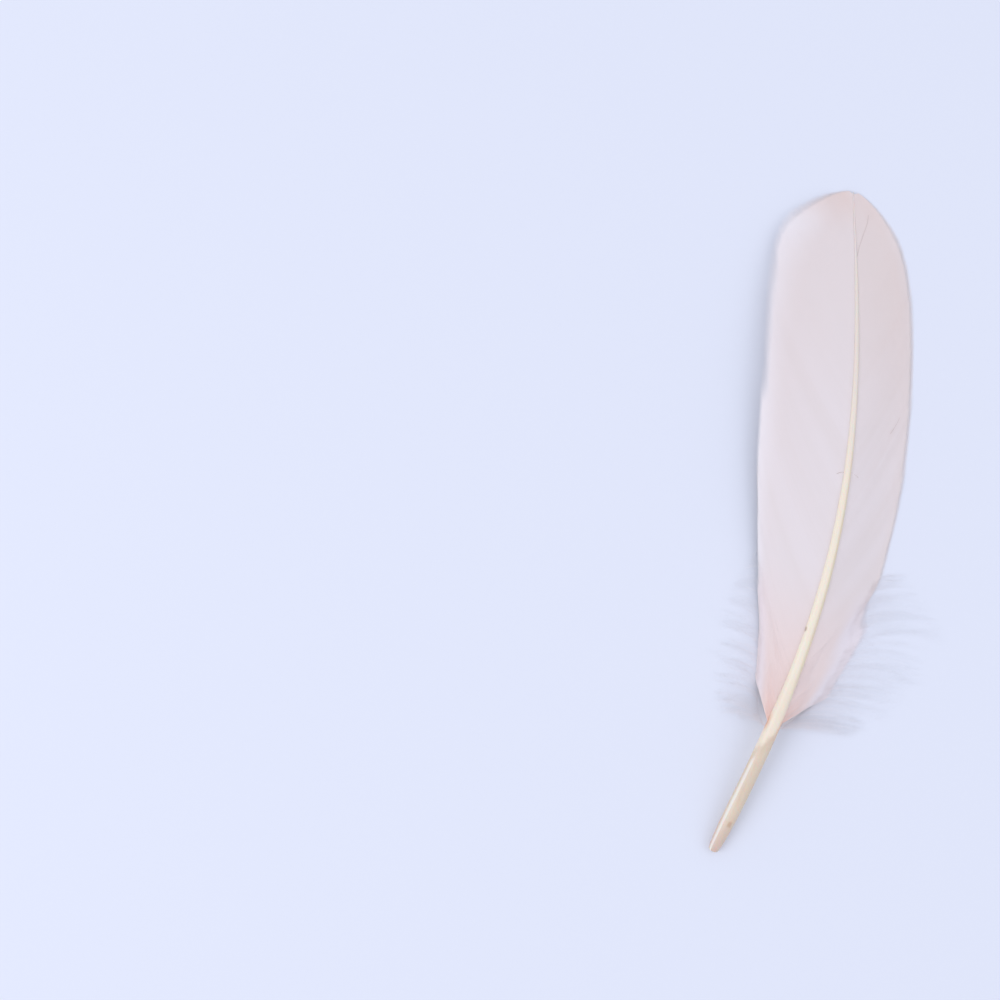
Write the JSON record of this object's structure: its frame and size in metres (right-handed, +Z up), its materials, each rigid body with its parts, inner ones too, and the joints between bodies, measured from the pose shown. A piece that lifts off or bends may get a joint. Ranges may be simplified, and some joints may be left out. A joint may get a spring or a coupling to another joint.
{
  "type": "goose quill feather",
  "caption": "Dyed goose quill feather lying rounded side up: a hollow quill, a bowed shaft, a narrow leading vane, a wide trailing vane and tufts of down.",
  "frame": {"origin": "middle of the base of the bounding box, on the surface that the feather lies on", "axes": "+Y from the quill's end to the feather's tip, +Z up, +X towards the narrow leading vane"},
  "size_m": [0.0632, 0.1704, 0.0087],
  "materials": {
    "quill_keratin": "satin, slightly see-through cream keratin",
    "vane_barbs": "matt pale peach-pink dye over fine locked barbs",
    "down_fluff": "soft, pale, loose fluff"
  },
  "bodies": {
    "root": {"shaft": "quill_keratin", "leading_vane": "vane_barbs", "trailing_vane": "vane_barbs", "leading_down": "down_fluff", "trailing_down": "down_fluff"}
  },
  "joints": []
}
